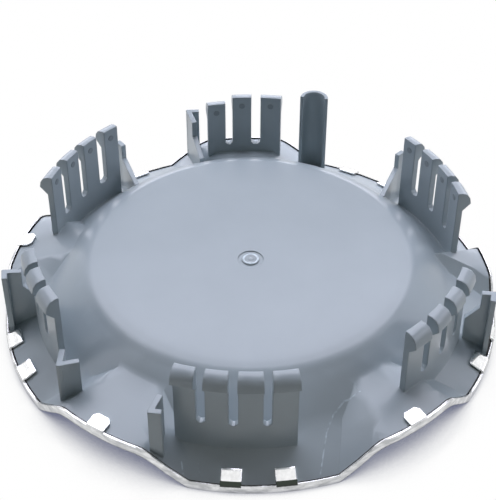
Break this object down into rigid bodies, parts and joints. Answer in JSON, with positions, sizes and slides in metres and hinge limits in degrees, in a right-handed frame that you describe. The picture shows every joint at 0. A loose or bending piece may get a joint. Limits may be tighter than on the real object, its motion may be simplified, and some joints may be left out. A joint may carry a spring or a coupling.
{
  "type": "wheel center cap",
  "caption": "Dished snap-in wheel centre cap: grey moulded body with barbed spring fingers and posts on the back, bright pressed metal skin with folded tabs over an arched rim",
  "frame": {"origin": "on the cap's axis, at the level of the lowest edge of the front rim, which the cap rests on when it lies face down", "axes": "+Z is the cap's axis and points out of its back, the way the fingers point; +X and +Y lie in the plane of the front rim"},
  "size_m": [0.1894, 0.1894, 0.0445],
  "materials": {
    "grey_plastic": "satin moulded",
    "bright_metal": "polished"
  },
  "bodies": {
    "root": {"cap_body": "grey_plastic", "chrome_skin": "bright_metal"}
  },
  "joints": []
}
